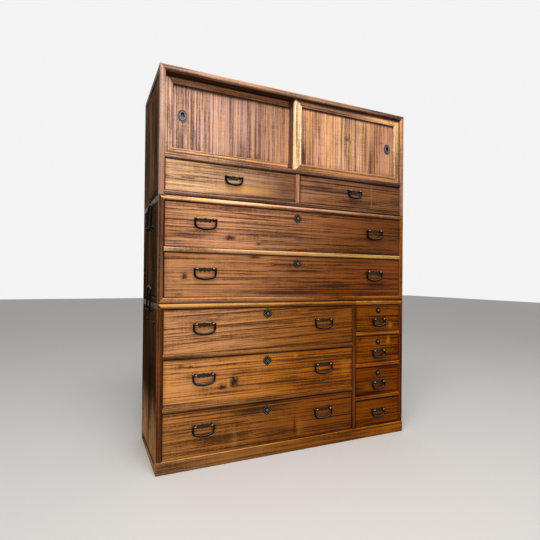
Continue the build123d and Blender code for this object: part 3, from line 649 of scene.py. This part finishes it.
def finish_plinth(seed):
    """Brown boards, scuffed at the floor, with rubbed edges and a painted highlight along the top."""
    s = Finish("plinth wood")
    grain = grain_along(s, "X", seed)[0]
    shown, darkness, height = wood(s, grain, tones("chestnut"), 4.5, (200, 60), 12, 0.35, 0.6, 0.6)
    x, z = s.x, s.z
    scuffed = s.times(s.smooth(z, 16, 2), s.noise(s.place, (0.02, 0.02, 0.08), 3, 0.6))
    shown = s.mix(s.times(scuffed, 0.7), shown, tint(58, 38, 22))
    # paler at the left and top, partly painted light, and tinted from the left end to the right
    shown = graded(s, x, -SIDE, SIDE, bleached_and_lit(s, shown), ((0.92, 1.36, 3), (1.5, 2.1, 0.9)))
    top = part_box("bottom_case_plinth")[1].z * 1000
    # rubbed edges (partly wear, partly painted highlight and shade) and a painted highlight along the top edge
    shown = s.toned(rubbed(s, shown, 0.4, 0.4), [(s.smooth(z, top - 4, top - 1.5, 0, 0.8), (2, 2.3, 2.6))])
    lacquer(s, shown, darkness, height, gloss=0.44)
    s.dress("bottom_case_plinth")


def finish_door(door, seed, fade, marks):
    """A mitred frame round a panel with upright stripes."""
    low, high = in_mm(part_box(f"{door}_frame"))
    s = Finish(f"{door} frame wood")
    stile = mitred(s, low, high, DOOR_STILE, True, DOOR_HEAD / DOOR_STILE)
    shown, darkness, height = member_wood(s, stile, tones("pale"), seed)
    x, z = s.x, s.z
    level = s.minus(1, stile)
    head, foot = s.times(s.more(z, 1400), level), s.times(s.less(z, 1400), level)
    line = s.times(s.ridge(z, 1252, 1254, 1258, 1260), foot)    # along the lower rail
    if door == "right_door":
        # the right door stands in front: its stiles much paler, partly painted light, and its upper rail darkened as
        # painted shadow except towards its right end
        shown = s.toned(shown, [
            (stile, s.mix(s.more(x, 300), (2.35, 2.8, 2.7), (1.55, 1.65, 1.3))),
            (head, s.mix(s.smooth(x, 280, 500), (0.68, 0.64, 0.68), (2.1, 2.1, 1.8))),
            (foot, (0.88, 0.7, 0.5)),
        ])
        shown = s.mix(s.times(line, 0.6), shown, tint(58, 30, 20))
        # a painted shadow in the gap at the door's right edge
        end = s.smooth(x, high.x - 7, high.x - 4, 0, 0.92), tint(20, 9, 5)
    else:
        # the upper rail darkened as painted shadow under the case's top rail
        shown = s.toned(shown, [
            (head, s.mix(s.smooth(x, -560, -60), (0.68, 0.58, 0.44), (0.62, 0.46, 0.34))),
            (foot, s.mix(s.smooth(x, -400, -100), (1.2, 1.2, 1.12), (0.7, 0.57, 0.44))),
            (line, (1.8, 1.8, 1.8)),
            (s.times(stile, s.less(x, -400)), (1.45, 1.55, 1.8)),
        ])
        # a painted shadow cast by the right door's edge on the left door
        end = s.smooth(x, -36, -33, 0, 0.85), tint(50, 28, 18)
    # painted shadow on the upper part of the upper rail, under the case's top rail
    shown = s.toned(shown, [(s.times(s.smooth(z, 1512, 1535), level), (0.72, 0.62, 0.55))])
    # a painted shadow along the very top under the case's top rail, and rubbed edges with wear, painted highlight
    # and painted shade
    shown = s.painted(rubbed(s, shown, 0.5, 0.8), [(s.smooth(z, 1541, 1546, 0, 0.9), tint(20, 9, 5)), end])
    lacquer(s, shown, darkness, height)
    s.dress(f"{door}_frame")

    s = Finish(f"{door} panel wood")
    grain = grain_along(s, "Z", seed + 7)[0]
    streaks = 0.75 if door == "left_door" else 0.55
    shown, darkness, height = wood(s, grain, tones("panel"), 11, (200, 60), 10, 0.35, streaks, 0.5)
    shown = marked(s, shown, marks)
    x, z = s.x, s.z
    left, right = low.x + DOOR_STILE, high.x - DOOR_STILE
    for start, end, ends in (
        (60, -260, ((1.02, 0.99, 1), (0.7, 0.68, 0.86))),
        (330, 430, ((1, 1, 1), (0.6, 0.5, 0.5))),
        (left, right, fade),
    ):
        shown = graded(s, x, start, end, shown, ends)
    cloud = s.noise(s.place, (0.05, 0.05, 0.012), 3, 0.6)
    # darker near the upper and lower rails, dust and painted shade
    dust_and_shade = s.most(s.smooth(z, 1500, 1532), s.smooth(z, 1292, 1262))
    dust_and_shade = s.times(dust_and_shade, s.smooth(cloud, 0.35, 0.65), 0.6)
    top = high.z - DOOR_HEAD
    shade = s.times(s.smooth(z, top - 13, top - 3), 0.9)
    shown = s.painted(shown, [(dust_and_shade, tint(74, 48, 38)), (shade, tint(30, 14, 8))])
    # painted shade along the panel's left and right edges, beside the stiles
    shown = s.toned(shown, [(s.smooth(s.within(x, left, right), 11, 4, 0, 0.8), (0.5, 0.46, 0.45))])
    lacquer(s, shown, darkness, height)
    s.dress(f"{door}_panel")


def finish_side(case, seed):
    """Dark lacquered side frames, bare on the inside, with thin lacquer near the floor."""
    low, high = in_mm(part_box(f"{case}_sides"))
    s = Finish(f"{case} side wood")
    x, y, z = s.x, s.y, s.z
    rail_top = low.z + SIDE_RAIL
    rail = s.times(s.less(z, rail_top), s.more(s.within(y, low.y, high.y), 30))
    inner_grain = s.switch(rail, s.combine(z, y, x), s.combine(y, z, x))
    grain = s.moved(inner_grain, (seed * 1370 % 9100, 0, 0))
    shown, darkness, height = wood(s, grain, tones("side", (2.1, 2.2, 2.2)), 7, (200, 60), 26, 0.5, 0.7, 0.7)
    cloud = s.noise(s.place, (0.004, 0.02, 0.004), 3, 0.6)
    thin = s.smooth(s.plus(z, s.times(cloud, 200)), 400, 200)
    worn = s.mix(darkness, bpy.context.scene.chest_wood.worn_side, shown)
    shown = graded(s, z, 350, 1450, shown, ((0.6, 0.56, 0.48), (2.4, 2.5, 2.7)))
    joint = s.most(s.smooth(s.apart(z, rail_top), 3, 1), s.smooth(z, low.z + 7, low.z + 2))
    shown = s.painted(shown, [(s.times(thin, 0.85), worn), (s.times(joint, 0.7), tint(26, 17, 11))])
    bare = wood(s, inner_grain, tones("inner"), 5, (200, 40), 14, 0.25, 0.3, 0.3)[0]
    inside = s.less(s.size(x), SIDE - 11)
    lacquer(s, s.mix(inside, shown, bare), darkness, height, inside, gloss=0.42, shine=0)
    s.dress(f"{case}_sides")


def finish_boards(case, seed):
    """Dark lacquer on what shows outside, planks at the back and bare boards inside."""
    look = bpy.context.scene.chest_wood
    s = Finish(f"{case} carcass wood")
    x, y, z = s.x, s.y, s.z
    flat = grain_along(s, "flat", seed)[0]
    bare, darkness, height = wood(s, flat, tones("inner"), 6, (200, 50), 20, 0.3, 0.35, 0.35)
    dark = wood(s, flat, tones("side"), 7, (300, 60), 26, 0.5, 0.6, 0.5)[0]
    # planks of the back, each with its own grain, a dark joint and its pegs
    row = s.over(z, look.plank * 1000)
    number = s.math("FLOOR", row)
    part = s.math("FRACT", row)
    level = grain_along(s, "X", seed)[0]
    own = s.moved(level, s.combine(s.times(number, 371), s.times(number, 53), 0))
    planks = wood(s, own, tones("back"), 6.5, (300, 50), 30, 0.45, 0.5, 0.5)[0]
    joint = s.most(s.smooth(part, 0.014, 0.004), s.smooth(part, 0.986, 0.996))
    planks = s.mix(joint, planks, tint(34, 24, 16))
    peg_x = s.minus(s.size(x), SIDE - 34)
    peg_z = s.times(s.minus(s.math("FRACT", s.times(row, 2)), 0.5), look.plank * 500)
    planks = s.mix(s.smooth(s.length(peg_x, peg_z), 3, 2.2), planks, look.peg)
    is_back = s.more(y, BACK * 1000 - 0.5)
    shown_out = s.more(s.size(x), INNER * 1000 + 1)
    if case == "top_case":
        # the lid shows, and the doors' grooves are cut in its underside
        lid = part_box(f"{case}_back_and_shelves")[1].z * 1000
        front = FRONT * 1000
        shown_out = s.most(shown_out, s.more(z, lid - 0.5))
        # painted shade in the recess above the doors: black near the front, dark brown behind
        recess_shade = s.mix(s.smooth(y, front + 24, front + 32), tint(18, 8, 4), tint(84, 50, 30))
        bare = s.mix(s.times(s.less(y, front + 90), s.more(z, 1535)), bare, recess_shade)
    shown = s.mix(shown_out, s.mix(is_back, bare, planks), dark)
    height = s.minus(height, s.times(joint, is_back, 3))
    lacquer(s, shown, darkness, height, s.minus(1, shown_out), gloss=0.42, shine=0.12)
    s.dress(f"{case}_back_and_shelves")


# ---- iron


def iron_finish(name, lock=None, worn=False):
    """Forged iron: hammered, brown in the hollows, polished on the high spots, and with a painted highlight along
    its upper front faces.

    The iron of a drawer is engraved, and lock is the middle of its lock plate in millimetres.
    """
    look = bpy.context.scene.chest_iron
    s = Finish(name)
    x, y, z = s.x, s.y, s.z
    normal = s.facing()
    hammered = s.noise(s.place, 0.35)
    grit = s.noise(s.place, 2.2, 3, 0.6)
    bloom = s.smooth(s.noise(s.place, 0.11, 3, 0.6), 0.5, 0.68)
    high = s.smooth(s.plus(hammered, s.times(grit, 0.3)), 0.78, 0.98)
    # polished: a painted highlight along the upper front faces of the bars, partly polish from hands
    polished = s.times(s.ridge(normal[2], 0.2, 0.45, 0.65, 0.9), s.smooth(normal[1], -0.2, -0.6))
    shown = s.painted(look.worn if worn else look.black, [
        (s.times(bloom, 0.2), look.brown),
        (s.times(high, 0.15), look.worn),
        (s.times(polished, s.smooth(grit, 0.3, 0.6), 0.8), look.worn),
    ])
    height = s.plus(hammered, s.times(grit, 0.35))
    if lock:
        values = {"Vector": s.scaled(s.place, (1, 0, 1)), "Scale": 0.11, "Distortion": 9, "Detail": 1,
                  "Detail Scale": 0.9}
        waves = s.add("ShaderNodeTexWave", values, wave_type="RINGS", rings_direction="Y").outputs["Fac"]
        face = s.less(y, FACE - 0.6)
        line = s.times(s.smooth(waves, 0.6, 0.9), face)
        crest = s.times(s.smooth(waves, 0.5, 0.2), face)
        height = s.minus(height, s.times(line, 1.2))
        reach = s.length(s.minus(x, lock[0]), s.minus(z, lock[1]))
        glint = s.times(s.smooth(reach, 6.5, 4.5), s.smooth(s.minus(normal[2], normal[0]), 0.1, 0.5))
        proud = s.times(s.smooth(y, FACE - 3.2, FACE - 4.2), s.more(reach, 24))
        crown = s.times(proud, s.smooth(normal[2], -0.1, 0.5), s.smooth(normal[1], -0.3, -0.8))
        shown = s.painted(shown, [
            (s.times(face, 0.22), look.brown),
            (s.times(line, 0.75), look.black),
            (s.times(crest, 0.25), look.worn),
            # the lock plate: dark, with a groove round its pale boss, which has a painted highlight (glint)
            (s.smooth(reach, 24, 22, 0, 0.8), look.black),
            (s.smooth(reach, 11, 10, 0, 0.8), look.black),
            (s.smooth(reach, 6.5, 4.5, 0, 0.8), look.worn),
            (glint, look.bright),
            # the posts: black, with a painted highlight on their crowns
            (proud, look.black),
            (crown, look.bright),
        ])
    s.coat(shown, s.plus(0.3, s.times(grit, 0.2)))
    s.surface.inputs["Specular IOR Level"].default_value = 0.04
    s.emboss(height, 0.5)
    return s


# ---- small pieces


def peg_finish():
    """End grain, a little rough."""
    look = bpy.context.scene.chest_wood
    s = Finish("wooden pegs")
    rings = s.noise(s.place, 0.9, 3, 0.6)
    s.coat(s.mix(rings, look.peg, look.back), s.plus(0.6, s.times(rings, 0.2)))
    return s


def link(thing):
    bpy.context.scene.collection.objects.link(thing)
    return thing


def mesh_object(name, bm, material):
    """A linked object of one material from a bmesh, which is used up."""
    mesh = bpy.data.meshes.new(name)
    bm.to_mesh(mesh)
    bm.free()
    mesh.materials.append(material)
    return link(bpy.data.objects.new(name, mesh))


def add_heads(name, places, direction, radius, rise, material, body):
    """A group of small domed heads on a face; direction points out of the face."""
    bm = bmesh.new()
    turn = Vector((0, 0, 1)).rotation_difference(Vector(direction)).to_matrix().to_4x4()
    for place in places:
        made = bmesh.ops.create_uvsphere(bm, u_segments=12, v_segments=8, radius=1)["verts"]
        shape = Matrix.Translation(place) @ turn @ Matrix.Diagonal((radius, radius, rise, 1))
        bmesh.ops.transform(bm, matrix=shape, verts=made)
    piece = mesh_object(name, bm, material)
    piece.data.polygons.foreach_set("use_smooth", [True] * len(piece.data.polygons))
    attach(piece, body)


# ---- operators


class CHEST_OT_finish_cases(bpy.types.Operator):
    """Gives the front frames, sides, boards and plinth their wood"""
    bl_idname = "chest.finish_cases"
    bl_label = "Finish cases"

    def execute(self, context):
        for seed, case in enumerate(("bottom_case", "middle_case", "top_case"), start=1):
            finish_front(case, seed)
            finish_side(case, seed + 3)
            finish_boards(case, seed + 6)
        finish_plinth(10)
        return {"FINISHED"}


class CHEST_OT_finish_drawers(bpy.types.Operator):
    """Gives each drawer its front grain, marks and bare inner boards"""
    bl_idname = "chest.finish_drawers"
    bl_label = "Finish drawers"

    def execute(self, context):
        for seed, name in enumerate(BOARDS, start=11):
            finish_drawer(name, seed)
        return {"FINISHED"}


class CHEST_OT_finish_doors(bpy.types.Operator):
    """Gives the sliding doors their mitred frames and striped panels"""
    bl_idname = "chest.finish_doors"
    bl_label = "Finish doors"

    def execute(self, context):
        finish_door("left_door", 23, ((1.3, 1.5, 1.75), (0.68, 0.67, 0.7)), [
            (-292, 1390, 3, 200, 0.85), (-190, 1370, 3, 200, 0.8), (-168, 1340, 4, 110, 0.7),
            (-215, 1330, 5, 90, 0.6), (-319, 1400, 7, 220, -0.4), (-154, 1356, 8, 220, -0.35),
            (-509, 1300, 14, 50, 0.6), (-328, 1520, 120, 16, 0.5), (-519, 1461, 9, 60, -0.4),
            (-250, 1290, 30, 60, 0.4)])
        finish_door("right_door", 24, ((0.92, 0.92, 0.97), (1.2, 1.33, 1.5)), [
            (34, 1310, 18, 60, 0.65), (81, 1400, 3, 200, 0.6), (61, 1426, 7, 200, -0.45),
            (267, 1414, 9, 9, 0.75), (288, 1403, 6, 6, 0.75), (290, 1368, 5, 200, -0.5),
            (404, 1325, 20, 100, 0.6), (376, 1400, 4, 150, 0.6), (428, 1380, 4, 150, 0.6),
            (468, 1427, 20, 2.5, 0.8), (450, 1430, 7, 50, -0.35)])
        return {"FINISHED"}


def finish_pull(door):
    """Grey iron with a bright rim, a dark groove round it and a dark cup with painted shade in its upper part."""
    look = bpy.context.scene.chest_iron
    low, high = in_mm(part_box(f"{door}_pull"))
    middle, half = (low + high) / 2, (high - low) / 2
    s = Finish(f"{door} pull iron")
    x, y, z = s.x, s.y, s.z
    upward = s.over(s.minus(z, middle.z), half.z)
    reach = s.length(s.over(s.minus(x, middle.x), half.x), upward)
    grit = s.noise(s.place, 0.9, 3, 0.6)
    groove = s.ridge(reach, 0.64, 0.7, 0.74, 0.82)
    rim = s.ridge(reach, 0.44, 0.5, 0.62, 0.68)
    cup = s.smooth(y, low.y + 2.6, low.y + 4)
    shade = s.times(s.smooth(reach, 0.5, 0.3, 1, 0.5), s.smooth(upward, -0.1, 0.22))
    shown = s.painted(look.grey, [
        (s.smooth(grit, 0.4, 0.65), look.worn),
        (s.times(groove, 0.85), look.black),
        (s.times(rim, 0.8), tint(136, 132, 134)),
        (cup, tint(92, 95, 104)),
        (s.times(cup, shade), look.black),
    ])
    s.coat(shown, s.plus(0.34, s.times(grit, 0.2)))
    s.surface.inputs["Metallic"].default_value = 0.7
    s.emboss(s.minus(grit, s.times(groove, 2)), 0.4)
    s.dress(f"{door}_pull")


def lock_middle(node):
    """The middle of a drawer's lock plate in millimetres."""
    if node.startswith(("small_1", "top")):
        return BELOW_ALL
    low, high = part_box(node)
    reach = LOCK_DISC if node.startswith("small") else LOCK_REACH
    return (low.x + high.x) * 500, (high.z - reach) * 1000


class CHEST_OT_finish_iron(bpy.types.Operator):
    """Blackens the bails, posts, plates, locks and pulls"""
    bl_idname = "chest.finish_iron"
    bl_label = "Finish iron"

    def execute(self, context):
        plain = iron_finish("black iron")
        for node in nodes:
            if node.endswith("_drawer_iron"):
                iron_finish(f"{node} engraved", lock_middle(node)).dress(node)
            elif node.endswith(("_bail", "_side_iron")):
                plain.dress(node)
        for door in ("left_door", "right_door"):
            finish_pull(door)
        return {"FINISHED"}


class CHEST_OT_add_nails(bpy.types.Operator):
    """Adds the nail heads of the plates and pulls, and the pegs of the drawers"""
    bl_idname = "chest.add_nails"
    bl_label = "Add nails and pegs"

    def execute(self, context):
        nail = context.scene.chest_iron.nail_radius
        pegs = peg_finish().material
        nails = iron_finish("worn nail heads", worn=True).material
        for name in BOARDS:
            self.peg_drawer(name, context.scene.chest_iron.peg_radius, pegs)
        for name in ("wide_low", "wide_centre", "wide_high", "middle_low", "middle_high"):
            x, z = (v / 1000 for v in lock_middle(f"{name}_drawer_iron"))
            tips = [(LOCK_NAILS, 0), (0, LOCK_NAILS), (-LOCK_NAILS, 0), (0, -LOCK_NAILS)]
            places = [(x + dx * share + ex * (1 - share), DRAWER_FACE - PLATE, z + dz * share + ez * (1 - share))
                      for (dx, dz), (ex, ez) in zip(tips, tips[1:] + tips[:1]) for share in (1, 2 / 3, 1 / 3)]
            add_heads(f"{name}_drawer_lock_nails", places, (0, -1, 0), nail, nail * 0.8, nails,
                      f"{name}_drawer")
        for door in ("left_door", "right_door"):
            low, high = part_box(f"{door}_pull")
            x, z = (low.x + high.x) / 2, (low.z + high.z) / 2
            places = [(x, low.y + PULL_RIM, z + rise) for rise in (PULL_NAILS, -PULL_NAILS)]
            add_heads(f"{door}_pull_nails", places, (0, -1, 0), nail, nail * 0.6, nails, door)
        return {"FINISHED"}

    def peg_drawer(self, name, radius, material):
        low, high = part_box(f"{name}_box")
        rows = [low.z + 0.02 + step * (high.z - low.z - 0.06) / 3 for step in range(4)]
        for side, x, word in ((-1, low.x, "left"), (1, high.x, "right")):
            places = [(x, low.y + FRONT_PEGS, z) for z in rows]
            places += [(x, high.y - BACK_PEGS, z) for z in rows[:3]]
            add_heads(f"{name}_{word}_pegs", places, (side, 0, 0), radius, PEG_RISE, material, name)


class CHEST_OT_add_stage(bpy.types.Operator):
    """Adds the pale floor, the soft lamps and the camera"""
    bl_idname = "chest.add_stage"
    bl_label = "Add stage"

    def execute(self, context):
        look = context.scene.chest_stage
        self.add_floor(look)
        self.add_lamp("main lamp", (-0.9, -3.2, 2.3), (0, 0, 0.85), 1.9, look.main_power)
        self.add_lamp("fill lamp", (2.8, -2.4, 2), (0.2, 0, 0.8), 2.6, look.fill_power)
        self.add_lamp("top lamp", (-0.5, -1.15, 3), (-0.1, -0.15, 0.9), 0.9, look.top_power)
        self.add_world(look)
        self.add_camera()
        context.scene.view_settings.view_transform = "Standard"
        return {"FINISHED"}

    def add_floor(self, look):
        bm = bmesh.new()
        bmesh.ops.create_grid(bm, x_segments=1, y_segments=1, size=14)
        s = Finish("pale floor")
        s.surface.inputs["Base Color"].default_value = (*look.floor, 1)
        s.surface.inputs["Roughness"].default_value = 0.9
        s.surface.inputs["Specular IOR Level"].default_value = 0.1
        floor = mesh_object("floor", bm, s.material)

    def add_lamp(self, name, place, target, size, power):
        lamp = bpy.data.lights.new(name, "AREA")
        lamp.shape = "SQUARE"
        lamp.size = size
        lamp.energy = power
        holder = link(bpy.data.objects.new(name, lamp))
        holder.location = place
        holder.rotation_euler = (Vector(target) - Vector(place)).to_track_quat("-Z", "Y").to_euler()

    def add_world(self, look):
        world = bpy.data.worlds.new("studio")
        bpy.context.scene.world = world
        world.use_nodes = True
        s = Shader(world.node_tree)
        light = world.node_tree.nodes["Background"]
        path = s.add("ShaderNodeLightPath", {}).outputs
        seen = s.plus(path["Is Camera Ray"], path["Is Glossy Ray"])
        seen = s.math("ADD", seen, path["Is Transmission Ray"], clamp=True)
        s.plug(light.inputs["Color"], (1, 1, 1))
        s.plug(light.inputs["Strength"], s.blend(seen, look.ambient, 0.9))

    def add_camera(self):
        yaw, pitch, roll = (math.radians(v) for v in (-24.233, 0.42, 0.547))
        level = Vector((-math.sin(yaw), math.cos(yaw), 0))
        right = Vector((math.cos(yaw), math.sin(yaw), 0))
        ahead = level * math.cos(pitch) + Vector((0, 0, math.sin(pitch)))
        up = Vector((0, 0, math.cos(pitch))) - level * math.sin(pitch)
        side = right * math.cos(roll) + up * math.sin(roll)
        above = up * math.cos(roll) - right * math.sin(roll)
        lens = bpy.data.cameras.new("camera")
        lens.sensor_width = 36
        lens.lens = 26.953
        lens.shift_x = 0.0026
        lens.shift_y = 0.0115
        camera = link(bpy.data.objects.new("camera", lens))
        turn = Matrix((side, above, -ahead)).transposed()
        camera.matrix_world = Matrix.Translation((-0.8459, FRONT - 1.5709, 0.7518)) @ turn.to_4x4()
        bpy.context.scene.camera = camera


STEPS = (
    CHEST_OT_finish_cases,
    CHEST_OT_finish_drawers,
    CHEST_OT_finish_doors,
    CHEST_OT_finish_iron,
    CHEST_OT_add_nails,
    CHEST_OT_add_stage,
)


class CHEST_PT_tools(bpy.types.Panel):
    """Lists the steps that finish the chest, and their settings"""
    bl_idname = "CHEST_PT_tools"
    bl_label = "Clothing chest"
    bl_space_type = "VIEW_3D"
    bl_region_type = "UI"
    bl_category = "Chest"

    def draw(self, context):
        for step in STEPS:
            self.layout.operator(step.bl_idname)
        for name in ("chest_wood", "chest_iron", "chest_stage"):
            settings = getattr(context.scene, name)
            box = self.layout.box()
            for key in settings.__annotations__:
                box.prop(settings, key)


CLASSES = (ChestWood, ChestIron, ChestStage, *STEPS, CHEST_PT_tools)


def register():
    for cls in CLASSES:
        bpy.utils.register_class(cls)
    bpy.types.Scene.chest_wood = PointerProperty(type=ChestWood)
    bpy.types.Scene.chest_iron = PointerProperty(type=ChestIron)
    bpy.types.Scene.chest_stage = PointerProperty(type=ChestStage)


def unregister():
    del bpy.types.Scene.chest_stage
    del bpy.types.Scene.chest_iron
    del bpy.types.Scene.chest_wood
    for cls in reversed(CLASSES):
        bpy.utils.unregister_class(cls)


def main():
    register()
    bpy.ops.chest.finish_cases()
    bpy.ops.chest.finish_drawers()
    bpy.ops.chest.finish_doors()
    bpy.ops.chest.finish_iron()
    bpy.ops.chest.add_nails()
    bpy.ops.chest.add_stage()
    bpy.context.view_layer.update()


if __name__ == "__main__":
    main()
